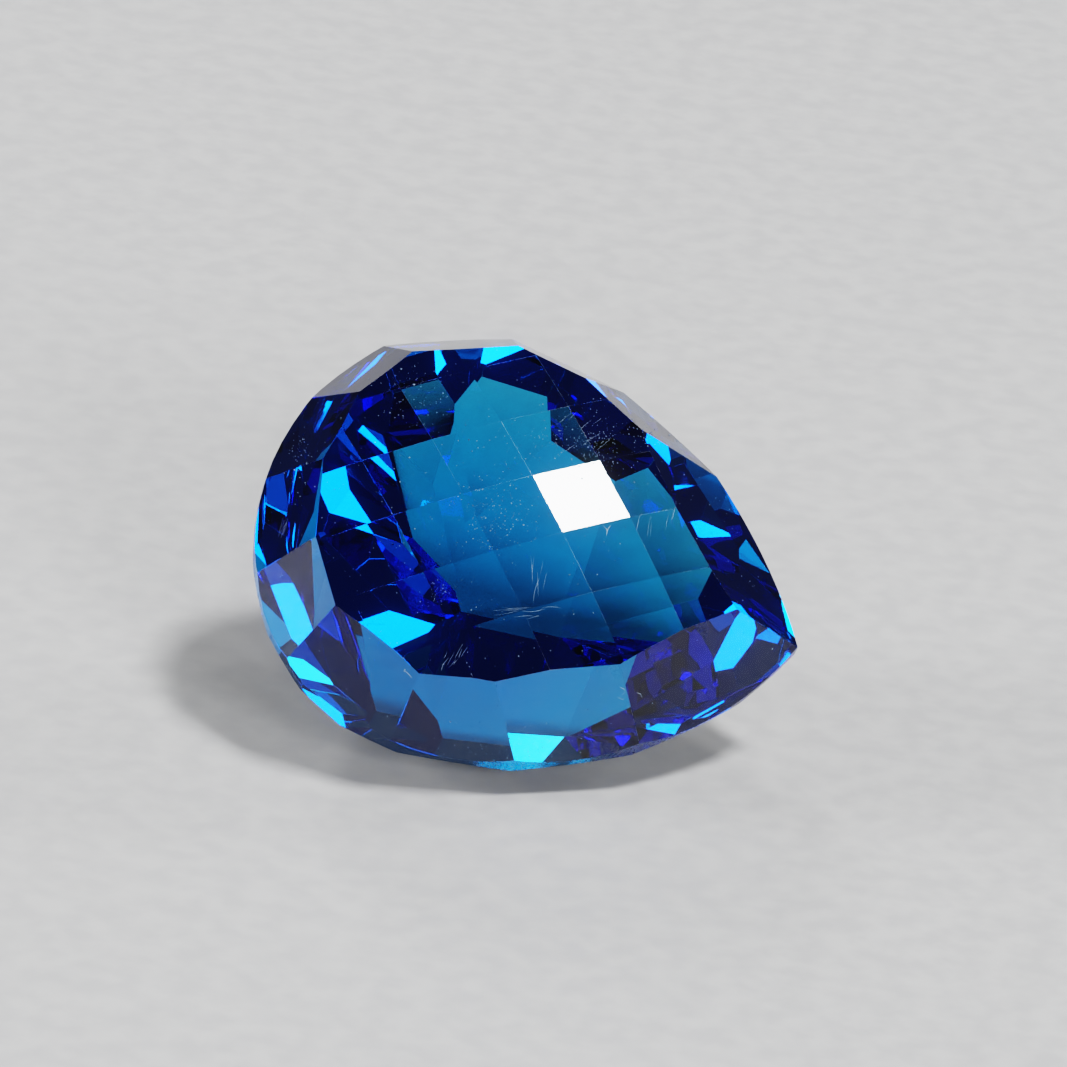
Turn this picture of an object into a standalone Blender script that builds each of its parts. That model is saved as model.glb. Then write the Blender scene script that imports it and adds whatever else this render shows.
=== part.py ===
# A loose pear-cut topaz with a checkerboard crown, lying on one of its pavilion facets.
# The stone is cut as a lapidary cuts it: a pear-shaped blank, then one flat facet at a time.

import math

import bmesh
import bpy
from mathutils import Matrix, Vector

MM = 0.001

# Outline, seen square to the girdle: the head is half an ellipse, the wings are arcs that meet in the tip
WIDTH = 10.0 * MM
LENGTH = 12.0 * MM
HEAD_REACH = 4.2 * MM
HALF_WIDTH = WIDTH / 2
TIP_REACH = LENGTH - HEAD_REACH
WING_RADIUS = (TIP_REACH**2 + HALF_WIDTH**2) / (2 * HALF_WIDTH)
HEAD_STEPS = 30
WING_STEPS = 20

# Heights above the middle of the girdle, and depths below it. The blank is longer than the stone.
CROWN_HEIGHT = 2.48 * MM
PAVILION_LEVEL = 0.15 * MM
BLANK_DEPTH = 6.5 * MM
BLANK_SPARE = 1.0 * MM

# Checkerboard: the facets touch a shallow dome in the middles of a slanted grid of cells
DOME_CENTRE = 0.85 * MM
DOME_RADIUS_LONG = 17.5 * MM
CELL_LONG = 2.27 * MM
CELL_ACROSS = 2.0 * MM
GRID_TURN = math.radians(-3.9)
GRID_LEAN = math.radians(-5.5)
GRID_CORNER = Vector((2.15 * MM, -0.17 * MM))
GRID_CELLS = 6
CELL_REACH = 0.92

# Crown rim: wide facets between stations on the girdle, steep at the head and easier at the tip.
# They leave the girdle thickest at the stations and nearly a knife edge half way between them.
# The two facets at the tip differ by twice the lean, so the ridge between them runs a little askew.
RIM_STATIONS = (0, 33, 60, 90, 124, 150, 180)
RIM_LEVEL = 0.22 * MM
RIM_ANGLE_TIP = 50
RIM_ANGLE_SIDE = 61
TIP_LEAN = 4

# Pavilion, in rows from the girdle down to the main facets that meet in the culet. Each row has
# its number of facets, its turn as a share of one facet, its run in from the row above, and its angle.
MAIN_ANGLE = 41
PAVILION_ROWS = (
    (20, 0.5, 0.35 * MM, 60),
    (20, 0.0, 0.95 * MM, 50),
    (10, 0.5, 1.50 * MM, 45),
    (10, 0.0, 0.0, MAIN_ANGLE),
)

# The stone lies on the main facet that faces this way in the girdle plane
REST_AZIMUTH = math.radians(-72)

# Smallest distance that the cuts keep apart
WELD = 0.001 * MM


def clear_scene():
    for thing in list(bpy.data.objects):
        bpy.data.objects.remove(thing, do_unlink=True)


def wing_point(angle):
    """A point on the wing of the +Y side, at this angle round the wing's own centre."""
    centre = HALF_WIDTH - WING_RADIUS
    return Vector((WING_RADIUS * math.sin(angle), centre + WING_RADIUS * math.cos(angle)))


def outline():
    """The pear outline, once round from the tip."""
    tip_angle = math.asin(TIP_REACH / WING_RADIUS)
    upper = [wing_point(tip_angle * (1 - step / WING_STEPS)) for step in range(WING_STEPS)]
    head = []
    for step in range(HEAD_STEPS + 1):
        turn = math.pi / 2 + math.pi * step / HEAD_STEPS
        head.append(Vector((HEAD_REACH * math.cos(turn), HALF_WIDTH * math.sin(turn))))
    lower = [Vector((point.x, -point.y)) for point in reversed(upper[1:])]
    return upper + head + lower


def outline_at(polar):
    """The point of the outline that lies this way from the head's centre."""
    way = Vector((math.cos(polar), math.sin(polar)))
    if way.x <= 0:
        return way / math.hypot(way.x / HEAD_REACH, way.y / HALF_WIDTH)
    drop = abs(way.y) * (WING_RADIUS - HALF_WIDTH)
    return way * (math.sqrt(drop**2 + WING_RADIUS**2 - (WING_RADIUS - HALF_WIDTH) ** 2) - drop)


def reach(azimuth):
    """How far the outline reaches this way from the head's centre."""
    way = Vector((math.cos(azimuth), math.sin(azimuth)))
    return max(point.dot(way) for point in outline())


def pear_blank():
    """The outline raised to a straight-sided block, taller than the stone."""
    blank = bmesh.new()
    corners = [blank.verts.new((point.x, point.y, -BLANK_DEPTH)) for point in outline()]
    base = blank.faces.new(corners)
    raised = bmesh.ops.extrude_face_region(blank, geom=[base])
    top = [item for item in raised["geom"] if isinstance(item, bmesh.types.BMVert)]
    height = BLANK_DEPTH + CROWN_HEIGHT + BLANK_SPARE
    bmesh.ops.translate(blank, verts=top, vec=(0, 0, height))
    bmesh.ops.recalc_face_normals(blank, faces=blank.faces)
    return blank


def cut_facet(stone, point, normal):
    """Grinds away all that lies outside one plane, and closes the stone with a flat facet."""
    everything = stone.verts[:] + stone.edges[:] + stone.faces[:]
    cut = bmesh.ops.bisect_plane(
        stone, geom=everything, dist=WELD / 10, plane_co=point, plane_no=normal, clear_outer=True
    )
    rim = [item for item in cut["geom_cut"] if isinstance(item, bmesh.types.BMEdge)]
    if len(rim) > 2:
        bmesh.ops.contextual_create(stone, geom=rim)


def facet_normal(azimuth, angle, side):
    """Outward normal of a facet at this angle to the girdle, on the crown (+1) or pavilion (-1)."""
    return Vector(
        (math.cos(azimuth) * math.sin(angle), math.sin(azimuth) * math.sin(angle), side * math.cos(angle))
    )


def cut_checkerboard(stone):
    """One facet for each grid cell, touching the dome at the cell's middle."""
    across_turn = math.pi / 2 + GRID_TURN + GRID_LEAN
    along = Vector((math.cos(GRID_TURN), math.sin(GRID_TURN))) * CELL_LONG
    across = Vector((math.cos(across_turn), math.sin(across_turn))) * CELL_ACROSS
    # This ratio makes four facets meet in every corner of the grid
    ratio = (across.y**2 - along.y**2) / (along.x**2 - across.x**2)
    radius_across = DOME_RADIUS_LONG * ratio
    for row in range(-GRID_CELLS, GRID_CELLS + 1):
        for column in range(-GRID_CELLS, GRID_CELLS + 1):
            if (row + column) % 2 == 0:
                continue
            middle = GRID_CORNER + along * (row / 2) + across * (column / 2)
            if middle.length > CELL_REACH * outline_at(math.atan2(middle.y, middle.x)).length:
                continue
            run = middle.x - DOME_CENTRE
            height = CROWN_HEIGHT - run**2 / (2 * DOME_RADIUS_LONG) - middle.y**2 / (2 * radius_across)
            normal = Vector((run / DOME_RADIUS_LONG, middle.y / radius_across, 1)).normalized()
            cut_facet(stone, Vector((middle.x, middle.y, height)), normal)


def cut_crown_rim(stone):
    """Steep facets between neighbouring girdle stations, alike on both sides of the long axis."""
    for side in (1, -1):
        for start, end in zip(RIM_STATIONS, RIM_STATIONS[1:]):
            first = outline_at(side * math.radians(start))
            second = outline_at(side * math.radians(end))
            chord = (second - first) * side
            azimuth = math.atan2(-chord.x, chord.y)
            share = min(1.0, start / RIM_STATIONS[2])
            angle = RIM_ANGLE_TIP + (RIM_ANGLE_SIDE - RIM_ANGLE_TIP) * share
            if start == 0:
                angle -= side * TIP_LEAN
            point = Vector((first.x, first.y, RIM_LEVEL))
            cut_facet(stone, point, facet_normal(azimuth, math.radians(angle), 1))


def cut_row(stone, count, turn, inward, depth, angle):
    """A ring of pavilion facets, each passing this far in from the outline at this depth."""
    for number in range(count):
        azimuth = 2 * math.pi * (number + turn) / count
        out = reach(azimuth) - inward
        point = Vector((out * math.cos(azimuth), out * math.sin(azimuth), -depth))
        cut_facet(stone, point, facet_normal(azimuth, math.radians(angle), -1))


def cut_pavilion(stone):
    """The rows one after the other, each starting where the row above has run out."""
    inward = 0.0
    depth = PAVILION_LEVEL
    for count, turn, run, angle in PAVILION_ROWS:
        cut_row(stone, count, turn, inward, depth, angle)
        inward += run
        depth += run * math.tan(math.radians(angle))


def cut_stone():
    stone = pear_blank()
    cut_checkerboard(stone)
    cut_crown_rim(stone)
    cut_pavilion(stone)
    bmesh.ops.remove_doubles(stone, verts=stone.verts, dist=WELD)
    bmesh.ops.recalc_face_normals(stone, faces=stone.faces)
    return stone


def lay_down(stone):
    """Rolls the stone on to its rest facet and sets its box's bottom middle at the origin."""
    spin = Matrix.Rotation(-math.pi / 2 - REST_AZIMUTH, 4, "Z")
    tilt = Matrix.Rotation(math.radians(MAIN_ANGLE), 4, "X")
    unspin = Matrix.Rotation(math.pi / 2 + REST_AZIMUTH, 4, "Z")
    stone.transform(unspin @ tilt @ spin)
    low = Vector(min(vert.co[axis] for vert in stone.verts) for axis in range(3))
    high = Vector(max(vert.co[axis] for vert in stone.verts) for axis in range(3))
    middle = (low + high) / 2
    stone.transform(Matrix.Translation((-middle.x, -middle.y, -low.z)))


def topaz_material():
    material = bpy.data.materials.new("deep blue topaz")
    material.use_nodes = True
    shader = material.node_tree.nodes["Principled BSDF"]
    shader.inputs["Base Color"].default_value = (0.02, 0.16, 0.62, 1)
    shader.inputs["Roughness"].default_value = 0.02
    shader.inputs["Metallic"].default_value = 0.0
    shader.inputs["IOR"].default_value = 1.62
    return material


def main():
    clear_scene()
    collection = bpy.data.collections.new("Pear-cut topaz")
    bpy.context.scene.collection.children.link(collection)
    stone = cut_stone()
    lay_down(stone)
    mesh = bpy.data.meshes.new("topaz")
    stone.to_mesh(mesh)
    stone.free()
    mesh.materials.append(topaz_material())
    topaz = bpy.data.objects.new("topaz", mesh)
    collection.objects.link(topaz)


main()
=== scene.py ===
import math
import random

import bmesh
import bpy
from mathutils import Matrix, Vector
from mathutils.bvhtree import BVHTree


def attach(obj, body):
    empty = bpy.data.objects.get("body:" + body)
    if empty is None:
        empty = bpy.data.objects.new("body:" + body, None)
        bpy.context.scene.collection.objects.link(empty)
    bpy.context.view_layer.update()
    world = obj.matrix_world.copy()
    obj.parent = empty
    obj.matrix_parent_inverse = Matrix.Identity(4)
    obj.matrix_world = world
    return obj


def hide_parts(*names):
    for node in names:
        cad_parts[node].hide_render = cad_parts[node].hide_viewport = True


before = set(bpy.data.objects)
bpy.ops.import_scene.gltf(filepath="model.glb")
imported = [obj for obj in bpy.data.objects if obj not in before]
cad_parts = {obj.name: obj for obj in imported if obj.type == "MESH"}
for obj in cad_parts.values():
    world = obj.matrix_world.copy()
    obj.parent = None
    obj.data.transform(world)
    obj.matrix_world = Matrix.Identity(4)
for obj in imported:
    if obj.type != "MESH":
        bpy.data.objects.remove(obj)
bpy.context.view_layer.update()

MM = 0.001

# Camera: where it stands round the stone, and the point its picture is centred on
VIEW_TURN = math.radians(7.4)
VIEW_HEIGHT = math.radians(24.4)
VIEW_ROLL = math.radians(5.6)
VIEW_DISTANCE = 220 * MM
VIEW_CENTRE = Vector((-0.03 * MM, 0.44 * MM, 4.44 * MM))
PICTURE_WIDTH = 22.95 * MM
SENSOR_WIDTH = 36 * MM

# The stone is rolled over by this angle, on to the pavilion facet that faces this way
ROLL = math.radians(41)
REST_AZIMUTH = math.radians(-72)
CROWN_WAY = Vector(
    (math.sin(ROLL) * math.cos(REST_AZIMUTH), math.sin(ROLL) * math.sin(REST_AZIMUTH), math.cos(ROLL))
)

# Cleaning the facets: corners this near are one, and faces that meet flatter than this are one facet
WELD = 0.0005 * MM
FLAT_ANGLE = math.radians(0.3)
EDGE_WEAR = 0.018 * MM
# Facets that stand this square to the girdle plane belong to the girdle, given as a sine
GIRDLE_LEAN = 0.08

# Topaz: its gloss, its haze where it is rubbed or smeared, and what it takes from light per metre
TOPAZ_IOR = 1.62
ABSORB_DENSITY = 800.0
ABSORB_COLOUR = (0.02, 0.76, 0.945, 1)
WORN_ROUGHNESS = 0.38
FILM_ROUGHNESS = 0.035
POLISH_DEPTH = 0.00004 * MM

# Dull finishes: pale and dark colour, greatest roughness, and how many grains go to a metre
DULL_FINISHES = {
    "fine pale dust": ((0.28, 0.38, 0.50, 1), (0.05, 0.09, 0.16, 1), 0.9, 9000.0),
    "pale lint": ((0.40, 0.50, 0.60, 1), (0.15, 0.22, 0.30, 1), 0.8, 6000.0),
    "frosted scratch": ((0.35, 0.45, 0.58, 1), (0.06, 0.12, 0.24, 1), 0.6, 12000.0),
    "pale floor": ((0.50, 0.50, 0.50, 1), (0.46, 0.46, 0.465, 1), 0.6, 1500.0),
}
ROUGHNESS_SPREAD = 0.1

# Patches of dust: place in the picture, size and how many grains, in mm from the picture's middle
DUST_PATCHES = (
    (0.0, 0.0, 7.0, 5.0, 700),
    (-5.0, 1.7, 0.3, 0.8, 60),
    (-2.5, 2.9, 0.9, 0.8, 120),
    (0.6, 1.9, 1.7, 0.7, 200),
    (1.4, 1.9, 0.6, 0.6, 120),
    (2.5, 2.1, 0.4, 0.3, 50),
    (-2.1, -1.3, 0.3, 0.3, 40),
    (-0.8, 0.4, 0.9, 0.9, 260),
    (-0.6, -4.5, 1.6, 0.5, 140),
)
GRAIN_SIZE = 0.006 * MM
GRAIN_SPREAD = 0.010 * MM
# One grain in some is a larger lump
LUMP_SHARE = 0.03
LUMP_GROWTH = 1.8
# How a grain's six corners lie, and how far it stands out of the facet as a share of its size
GRAIN_WAYS = ((1, 0, 0), (0, 1, 0), (-1, 0, 0), (0, -1, 0), (0, 0, 1), (0, 0, -0.4))
GRAIN_LIFT = 0.4
DUST_SEED = 11

# Fibres: radius, and the places in the picture that each one runs through, all in mm
LINT = (
    (0.008, ((1.48, 0.18), (1.56, 0.10), (1.58, 0.04))),
    (0.008, ((1.66, 0.17), (1.60, 0.10), (1.58, 0.04), (1.57, -0.05))),
    (0.007, ((-2.80, -2.95), (-2.72, -2.98), (-2.66, -3.04), (-2.62, -3.10))),
    (0.006, ((1.86, -3.30), (1.95, -3.34), (1.97, -3.42), (1.90, -3.46))),
    (0.006, ((2.22, -3.42), (2.30, -3.45), (2.33, -3.52))),
    (0.006, ((1.82, -3.52), (1.90, -3.56), (1.96, -3.55))),
)
LINT_SIDES = 5
LINT_LIFT = 1.2
LINT_TAPER = 0.5

# Scratches: place of the group and its size in mm, their length, slant in degrees, and how many
SCRATCH_GROUPS = (
    (-0.1, -1.7, 1.0, 0.25, 0.6, 3, 9),
    (-1.7, -2.7, 0.5, 0.35, 0.35, 60, 9),
    (0.1, -1.0, 0.3, 0.6, 0.6, 88, 6),
    (-5.3, 0.0, 0.4, 0.5, 0.5, 70, 7),
    (1.2, 2.2, 1.4, 0.8, 0.5, 40, 8),
    (2.6, 0.2, 0.9, 0.6, 0.5, 80, 6),
)
SCRATCH_STEPS = 8
SCRATCH_LIFT = 0.0015 * MM
SCRATCH_WIDTH = 0.003 * MM
SCRATCH_SPREAD = 0.003 * MM
# How far a scratch bows, as a share of its length, and how its slant varies, in degrees
SCRATCH_BOW = 0.03
SCRATCH_SWAY = 6
SCRATCH_SEED = 5

# The floor, and the hair of air under the rest facet that lets it mirror inside the stone
FLOOR_REACH = 1.2
FLOOR_GAP = 0.02 * MM

# Studio lights, all plain white: side and height they stand at in degrees, from the back and turning
# to the right, width and height in degrees as the stone sees them, and how bright they are
LIGHT_DISTANCE = 0.6
LIGHT_AIM = Vector((0, 0, 4 * MM))
LIGHTS = {
    "key": (102, 67.2, 10, 10, 90),
    "right box": (142, 24, 16, 12, 22),
    "left box": (-102, 20, 14, 20, 18),
    "back left box": (-30, 30, 14, 12, 12),
    "back right box": (54, 24, 14, 12, 14),
    "front box": (172, 22, 14, 10, 20),
}
WORLD_COLOUR = (0.06, 0.065, 0.07, 1)
GLOW = {"Threshold": 3.0, "Strength": 0.05, "Size": 0.25}


def principled(material):
    return next(node for node in material.node_tree.nodes if node.type == "BSDF_PRINCIPLED")


def new_material(name):
    material = bpy.data.materials.new(name)
    material.use_nodes = True
    return material


def feed(tree, value, socket):
    """Links a value that comes from a node to the socket, and sets one that is a number."""
    if hasattr(value, "links"):
        tree.links.new(value, socket)
    else:
        socket.default_value = value


def value_group(name, inputs, outputs):
    """An empty node group with these number inputs and these number outputs."""
    tree = bpy.data.node_groups.new(name, "ShaderNodeTree")
    for label in inputs:
        tree.interface.new_socket(label, in_out="INPUT", socket_type="NodeSocketFloat")
    for label in outputs:
        tree.interface.new_socket(label, in_out="OUTPUT", socket_type="NodeSocketFloat")
    return tree, tree.nodes.new("NodeGroupInput"), tree.nodes.new("NodeGroupOutput")


def add_group(tree, group):
    node = tree.nodes.new("ShaderNodeGroup")
    node.node_tree = group
    return node


def piece_place(tree):
    """The place on the piece, in its own coordinates."""
    return tree.nodes.new("ShaderNodeTexCoord").outputs["Object"]


def noise_node(tree, place, scale, detail, turn=None, stretch=None):
    """Noise with features about 1 / scale metres across, turned and stretched where that is given."""
    source = place
    if stretch:
        mapping = tree.nodes.new("ShaderNodeMapping")
        mapping.inputs["Rotation"].default_value = turn
        mapping.inputs["Scale"].default_value = stretch
        tree.links.new(place, mapping.inputs["Vector"])
        source = mapping.outputs["Vector"]
    node = tree.nodes.new("ShaderNodeTexNoise")
    feed(tree, scale, node.inputs["Scale"])
    node.inputs["Detail"].default_value = detail
    tree.links.new(source, node.inputs["Vector"])
    return node.outputs["Fac"]


def spread_node(tree, value, low, high, to_low=0.0, to_high=1.0, soft=True):
    """Maps low..high to to_low..to_high, softly or in a straight line, and holds the ends."""
    node = tree.nodes.new("ShaderNodeMapRange")
    node.interpolation_type = "SMOOTHSTEP" if soft else "LINEAR"
    tree.links.new(value, node.inputs["Value"])
    for label, number in (("From Min", low), ("From Max", high), ("To Min", to_low), ("To Max", to_high)):
        node.inputs[label].default_value = number
    return node.outputs["Result"]


def math_node(tree, operation, *values):
    node = tree.nodes.new("ShaderNodeMath")
    node.operation = operation
    for socket, value in zip(node.inputs, values):
        feed(tree, value, socket)
    return node.outputs["Value"]


def uneven_wear():
    """Roughness of facet edges and girdle: rubbed in stretches, with a fine grain in the rubbing."""
    tree, start, end = value_group("uneven wear", ("Wear",), ("Roughness",))
    place = piece_place(tree)
    stretches = spread_node(tree, noise_node(tree, place, 520.0, 3.0), 0.40, 0.58, 0.10, 1.0)
    fine = spread_node(tree, noise_node(tree, place, 14000.0, 2.0), 0.3, 0.7, 0.6, 1.0)
    rubbed = math_node(tree, "MULTIPLY", math_node(tree, "MULTIPLY", stretches, fine), WORN_ROUGHNESS)
    worn = math_node(tree, "MULTIPLY", rubbed, start.outputs["Wear"])
    tree.links.new(worn, end.inputs["Roughness"])
    return tree


def handling_film():
    """Thin smears from handling: a slight haze in patches, drawn out one way."""
    tree, _, end = value_group("handling film", (), ("Haze",))
    place = piece_place(tree)
    patches = spread_node(tree, noise_node(tree, place, 330.0, 1.0), 0.50, 0.68)
    drawn = noise_node(tree, place, 600.0, 0.0, turn=(0.0, 0.0, 0.7), stretch=(1.0, 4.0, 1.5))
    smears = spread_node(tree, drawn, 0.42, 0.70)
    haze = math_node(tree, "MULTIPLY", math_node(tree, "MULTIPLY", patches, smears), FILM_ROUGHNESS)
    tree.links.new(haze, end.inputs["Haze"])
    return tree


def polish_marks():
    """Height of the last polishing marks: very fine parallel lines, deeper in some places."""
    tree, _, end = value_group("polish marks", (), ("Height",))
    place = piece_place(tree)
    lines = noise_node(tree, place, 500.0, 0.0, turn=(0.3, 0.0, 0.35), stretch=(9.0, 0.8, 1.5))
    where = spread_node(tree, noise_node(tree, place, 260.0, 1.0), 0.48, 0.62)
    tree.links.new(math_node(tree, "MULTIPLY", lines, where), end.inputs["Height"])
    return tree


def speckle():
    """Grains of two shades: how pale each place is, and how rough, a little less in the dark ones."""
    tree, start, end = value_group("speckle", ("Scale", "Roughness"), ("Paleness", "Roughness"))
    grains = noise_node(tree, piece_place(tree), start.outputs["Scale"], 2.0)
    tree.links.new(spread_node(tree, grains, 0.35, 0.65, soft=False), end.inputs["Paleness"])
    smoother = spread_node(tree, grains, 0.3, 0.7, -ROUGHNESS_SPREAD, 0.0)
    roughness = math_node(tree, "ADD", start.outputs["Roughness"], smoother)
    tree.links.new(roughness, end.inputs["Roughness"])
    return tree


def topaz_glass():
    """Clear deep blue topaz: polished, with the colour in its volume and worn edges."""
    material = new_material("deep blue topaz")
    tree = material.node_tree
    shader = principled(material)
    shader.inputs["Base Color"].default_value = (1, 1, 1, 1)
    shader.inputs["IOR"].default_value = TOPAZ_IOR
    shader.inputs["Transmission Weight"].default_value = 1.0
    wear = tree.nodes.new("ShaderNodeAttribute")
    wear.attribute_name = "wear"
    worn = add_group(tree, uneven_wear())
    tree.links.new(wear.outputs["Fac"], worn.inputs["Wear"])
    film = add_group(tree, handling_film())
    roughness = math_node(tree, "MAXIMUM", worn.outputs["Roughness"], film.outputs["Haze"])
    tree.links.new(roughness, shader.inputs["Roughness"])
    marks = add_group(tree, polish_marks())
    bump = tree.nodes.new("ShaderNodeBump")
    bump.inputs["Strength"].default_value = 1.0
    bump.inputs["Distance"].default_value = POLISH_DEPTH
    tree.links.new(marks.outputs["Height"], bump.inputs["Height"])
    tree.links.new(bump.outputs["Normal"], shader.inputs["Normal"])
    volume = tree.nodes.new("ShaderNodeVolumeAbsorption")
    volume.inputs["Color"].default_value = ABSORB_COLOUR
    volume.inputs["Density"].default_value = ABSORB_DENSITY
    output = next(node for node in tree.nodes if node.type == "OUTPUT_MATERIAL")
    tree.links.new(volume.outputs["Volume"], output.inputs["Volume"])
    return material


def dull_material(name, speckle_group):
    """A dull material that varies between its two colours from grain to grain."""
    pale, dark, roughness, scale = DULL_FINISHES[name]
    material = new_material(name)
    tree = material.node_tree
    shader = principled(material)
    grains = add_group(tree, speckle_group)
    grains.inputs["Scale"].default_value = scale
    grains.inputs["Roughness"].default_value = roughness
    colour = tree.nodes.new("ShaderNodeMix")
    colour.data_type = "RGBA"
    factor, low, high = (next(s for s in colour.inputs if s.identifier == label)
                         for label in ("Factor_Float", "A_Color", "B_Color"))
    low.default_value = dark
    high.default_value = pale
    tree.links.new(grains.outputs["Paleness"], factor)
    result = next(s for s in colour.outputs if s.identifier == "Result_Color")
    tree.links.new(result, shader.inputs["Base Color"])
    tree.links.new(grains.outputs["Roughness"], shader.inputs["Roughness"])
    return material


def piece(name, mesh, material):
    """Turns the mesh into a piece of this name that rides on the stone's body."""
    data = bpy.data.meshes.new(name)
    mesh.to_mesh(data)
    mesh.free()
    data.materials.append(material)
    thing = bpy.data.objects.new(name, data)
    bpy.context.scene.collection.objects.link(thing)
    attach(thing, "root")
    return thing


def cut_stone():
    """The stone with its flat facets, their edges worn round by a few hundredths of a millimetre."""
    facets = bmesh.new()
    facets.from_mesh(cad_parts["topaz"].data)
    bmesh.ops.remove_doubles(facets, verts=facets.verts, dist=WELD)
    bmesh.ops.dissolve_limit(facets, angle_limit=FLAT_ANGLE, verts=facets.verts, edges=facets.edges)
    wear = facets.faces.layers.float.new("wear")
    facets.normal_update()
    for facet in facets.faces:
        if abs(facet.normal.dot(CROWN_WAY)) < GIRDLE_LEAN:
            facet[wear] = 1.0
    bevelled = bmesh.ops.bevel(
        facets, geom=facets.edges[:], offset=EDGE_WEAR, segments=2, profile=0.5,
        affect="EDGES", clamp_overlap=True,
    )
    for strip in bevelled["faces"]:
        strip[wear] = 1.0
    bmesh.ops.recalc_face_normals(facets, faces=facets.faces)
    stone = piece("cut_topaz", facets, topaz_glass())
    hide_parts("topaz")


def view_axes():
    """The picture's right, up and towards-the-camera directions."""
    back = Vector(
        (
            math.sin(VIEW_TURN) * math.cos(VIEW_HEIGHT),
            -math.cos(VIEW_TURN) * math.cos(VIEW_HEIGHT),
            math.sin(VIEW_HEIGHT),
        )
    )
    turn = back.to_track_quat("Z", "Y").to_matrix() @ Matrix.Rotation(VIEW_ROLL, 3, "Z")
    return turn.col[0].copy(), turn.col[1].copy(), back


class StoneSurface:
    """Finds places on the stone from where they are seen in the photograph."""

    def __init__(self):
        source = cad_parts["topaz"]
        mesh = bmesh.new()
        mesh.from_mesh(source.data)
        mesh.transform(source.matrix_world)
        self.tree = BVHTree.FromBMesh(mesh)
        mesh.free()
        self.right, self.up, self.back = view_axes()
        self.eye = VIEW_CENTRE + self.back * VIEW_DISTANCE

    def seen(self, across, rise):
        """Point and normal under this place of the picture, in mm from its middle, or None."""
        aim = VIEW_CENTRE + self.right * across * MM + self.up * rise * MM - self.eye
        point, normal, _, _ = self.tree.ray_cast(self.eye, aim.normalized())
        if point is None or normal.dot(self.back) < 0.1:
            return None
        return point, normal


def grain(mesh, point, normal, size, chance):
    """One dust grain: a small uneven lump with eight faces."""
    turn = normal.to_track_quat("Z", "Y").to_matrix() @ Matrix.Rotation(chance.random() * 6.28, 3, "Z")
    corners = []
    for way in GRAIN_WAYS:
        reach = size * (0.6 + 0.8 * chance.random())
        corners.append(mesh.verts.new(point + turn @ (Vector(way) * reach) + normal * size * GRAIN_LIFT))
    for number in range(4):
        following = (number + 1) % 4
        mesh.faces.new((corners[number], corners[following], corners[4]))
        mesh.faces.new((corners[following], corners[number], corners[5]))


def dust(surface, speckle_group):
    """Fine grains all over the crown, thicker in the patches where the photograph shows them."""
    chance = random.Random(DUST_SEED)
    mesh = bmesh.new()
    for across, rise, wide, high, count in DUST_PATCHES:
        for _ in range(count):
            spot = surface.seen(chance.gauss(across, wide / 2), chance.gauss(rise, high / 2))
            if spot:
                size = GRAIN_SIZE + GRAIN_SPREAD * chance.random() ** 2
                if chance.random() < LUMP_SHARE:
                    size *= LUMP_GROWTH
                grain(mesh, *spot, size, chance)
    piece("dust", mesh, dull_material("fine pale dust", speckle_group))


def thread(mesh, points, radius):
    """A thin round fibre through these points, thinner at its ends."""
    rings = []
    for number, point in enumerate(points):
        before = points[max(number - 1, 0)]
        after = points[min(number + 1, len(points) - 1)]
        turn = (after - before).normalized().to_track_quat("Z", "Y").to_matrix()
        taper = radius * (LINT_TAPER if number in (0, len(points) - 1) else 1.0)
        ring = []
        for side in range(LINT_SIDES):
            angle = 2 * math.pi * side / LINT_SIDES
            ring.append(mesh.verts.new(point + turn @ Vector((math.cos(angle), math.sin(angle), 0)) * taper))
        rings.append(ring)
    for first, second in zip(rings, rings[1:]):
        for side in range(LINT_SIDES):
            following = (side + 1) % LINT_SIDES
            mesh.faces.new((first[side], first[following], second[following], second[side]))
    mesh.faces.new(list(reversed(rings[0])))
    mesh.faces.new(rings[-1])


def lint(surface, speckle_group):
    """Short fibres that have settled on the crown."""
    mesh = bmesh.new()
    for radius, path in LINT:
        spots = [surface.seen(across, rise) for across, rise in path]
        points = [spot[0] + spot[1] * radius * MM * LINT_LIFT for spot in spots if spot]
        if len(points) > 1:
            thread(mesh, points, radius * MM)
    piece("lint", mesh, dull_material("pale lint", speckle_group))


def ribbon(mesh, surface, start, end, width, bow):
    """A shallow scratch: a very thin pale strip on the facet from one place to another."""
    points = []
    run = end - start
    for step in range(SCRATCH_STEPS + 1):
        share = step / SCRATCH_STEPS
        side = bow * math.sin(math.pi * share)
        place = start + run * share + Vector((-run.y, run.x)) * side
        spot = surface.seen(place.x, place.y)
        if spot:
            swell = math.sin(math.pi * (0.08 + 0.84 * share))
            points.append((spot[0] + spot[1] * SCRATCH_LIFT, spot[1], swell))
    pairs = []
    for number, (point, normal, swell) in enumerate(points):
        before = points[max(number - 1, 0)][0]
        after = points[min(number + 1, len(points) - 1)][0]
        across = (after - before).cross(normal).normalized() * width * swell / 2
        pairs.append((mesh.verts.new(point - across), mesh.verts.new(point + across)))
    for (a, b), (c, d) in zip(pairs, pairs[1:]):
        mesh.faces.new((a, b, d, c))


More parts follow.
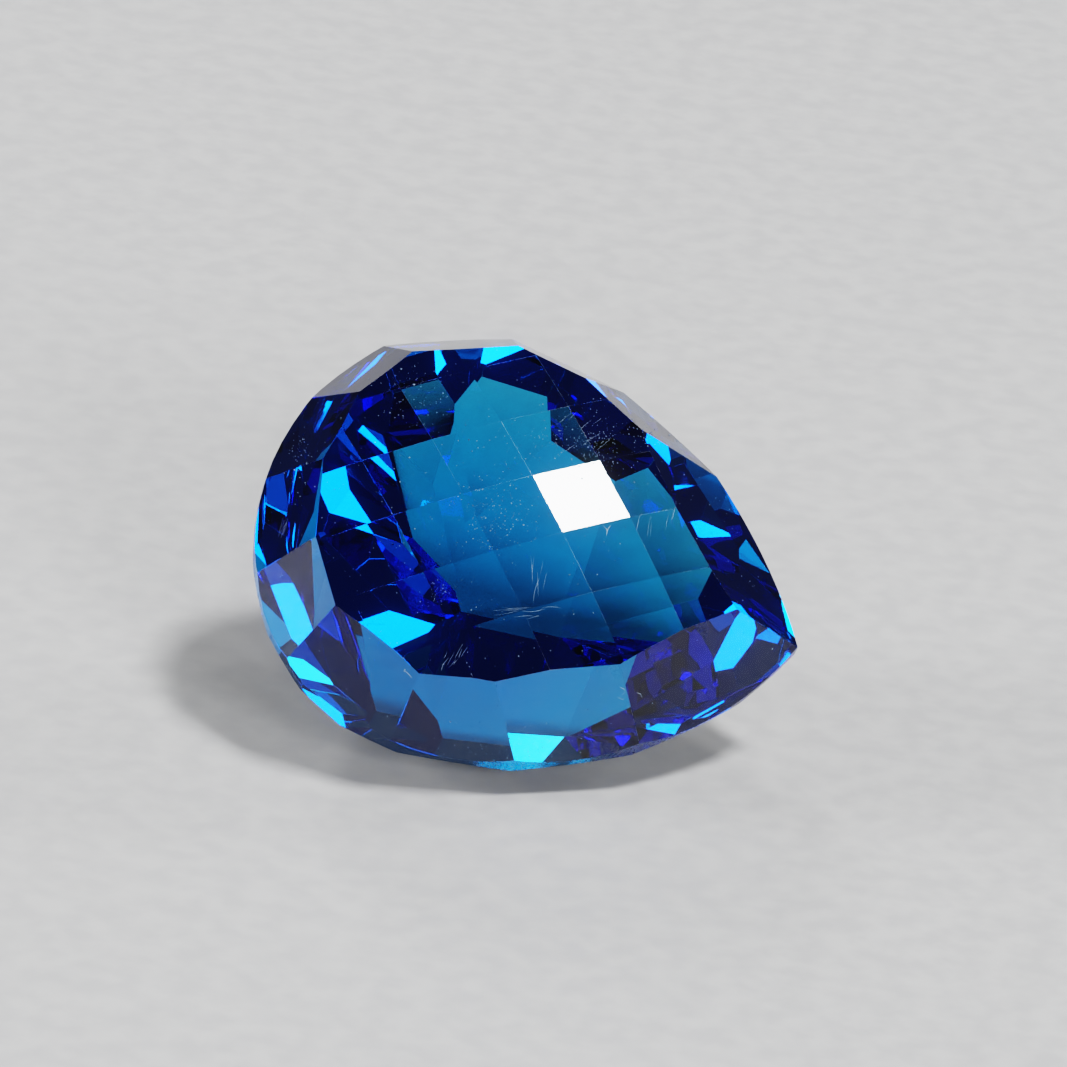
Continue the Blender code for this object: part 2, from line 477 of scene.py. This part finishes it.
def scratches(surface, speckle_group):
    """Light scratches in the groups that the photograph shows."""
    chance = random.Random(SCRATCH_SEED)
    mesh = bmesh.new()
    for across, rise, wide, high, length, slant, count in SCRATCH_GROUPS:
        for _ in range(count):
            x = across + wide * (chance.random() - 0.5)
            y = rise + high * (chance.random() - 0.5)
            angle = math.radians(slant + chance.gauss(0, SCRATCH_SWAY))
            half = length * (0.4 + 0.6 * chance.random()) / 2
            middle = Vector((x, y))
            run = Vector((math.cos(angle), math.sin(angle))) * half
            width = SCRATCH_WIDTH + SCRATCH_SPREAD * chance.random()
            ribbon(mesh, surface, middle - run, middle + run, width, chance.gauss(0, SCRATCH_BOW))
    piece("scratches", mesh, dull_material("frosted scratch", speckle_group))


def floor(speckle_group):
    """Plain pale floor with a faint grain."""
    mesh = bpy.data.meshes.new("floor")
    sheet = bmesh.new()
    bmesh.ops.create_grid(sheet, x_segments=1, y_segments=1, size=FLOOR_REACH)
    sheet.to_mesh(mesh)
    sheet.free()
    mesh.materials.append(dull_material("pale floor", speckle_group))
    ground = bpy.data.objects.new("floor", mesh)
    ground.location = (0, 0, -FLOOR_GAP)
    bpy.context.scene.collection.objects.link(ground)


def camera():
    """Looks at the stone from the photograph's side, height and roll."""
    right, up, back = view_axes()
    data = bpy.data.cameras.new("camera")
    data.sensor_width = SENSOR_WIDTH / MM
    data.lens = data.sensor_width * VIEW_DISTANCE / PICTURE_WIDTH
    data.clip_start = 0.01
    data.clip_end = 20
    eye = bpy.data.objects.new("camera", data)
    bpy.context.scene.collection.objects.link(eye)
    turn = Matrix((right, up, back)).transposed().to_4x4()
    eye.matrix_world = Matrix.Translation(VIEW_CENTRE + back * VIEW_DISTANCE) @ turn
    bpy.context.scene.camera = eye


def softbox(name, side, height, wide, high, brightness):
    """A soft white light of this size and brightness, aimed at the stone."""
    turn = math.radians(side)
    rise = math.radians(height)
    way = Vector((math.sin(turn) * math.cos(rise), math.cos(turn) * math.cos(rise), math.sin(rise)))
    lamp = bpy.data.lights.new(name, "AREA")
    lamp.shape = "RECTANGLE"
    lamp.size = 2 * LIGHT_DISTANCE * math.tan(math.radians(wide) / 2)
    lamp.size_y = 2 * LIGHT_DISTANCE * math.tan(math.radians(high) / 2)
    lamp.energy = brightness * math.pi * lamp.size * lamp.size_y
    box = bpy.data.objects.new(name, lamp)
    bpy.context.scene.collection.objects.link(box)
    box.location = way * LIGHT_DISTANCE + LIGHT_AIM
    box.rotation_euler = way.to_track_quat("Z", "Y").to_euler()


def glow():
    """A mild glow round the brightest reflection, as a lens gives it."""
    scene = bpy.context.scene
    scene.use_nodes = True
    tree = scene.node_tree
    tree.nodes.clear()
    layers = tree.nodes.new("CompositorNodeRLayers")
    glare = tree.nodes.new("CompositorNodeGlare")
    out = tree.nodes.new("CompositorNodeComposite")
    glare.glare_type = "BLOOM"
    for label, value in GLOW.items():
        glare.inputs[label].default_value = value
    tree.links.new(layers.outputs["Image"], glare.inputs["Image"])
    tree.links.new(glare.outputs["Image"], out.inputs["Image"])


def studio():
    """Soft white lights in a dim grey room, and how the picture is toned."""
    scene = bpy.context.scene
    world = bpy.data.worlds.new("studio")
    world.use_nodes = True
    world.node_tree.nodes["Background"].inputs["Color"].default_value = WORLD_COLOUR
    scene.world = world
    for name, setting in LIGHTS.items():
        softbox(name, *setting)
    glow()
    scene.view_settings.view_transform = "Filmic"
    scene.view_settings.look = "High Contrast"
    scene.cycles.caustics_reflective = False
    scene.cycles.caustics_refractive = False
    scene.cycles.max_bounces = 16
    scene.cycles.transmission_bounces = 16
    scene.cycles.glossy_bounces = 12


camera()
surface = StoneSurface()
speckle_group = speckle()
cut_stone()
dust(surface, speckle_group)
lint(surface, speckle_group)
scratches(surface, speckle_group)
floor(speckle_group)
studio()
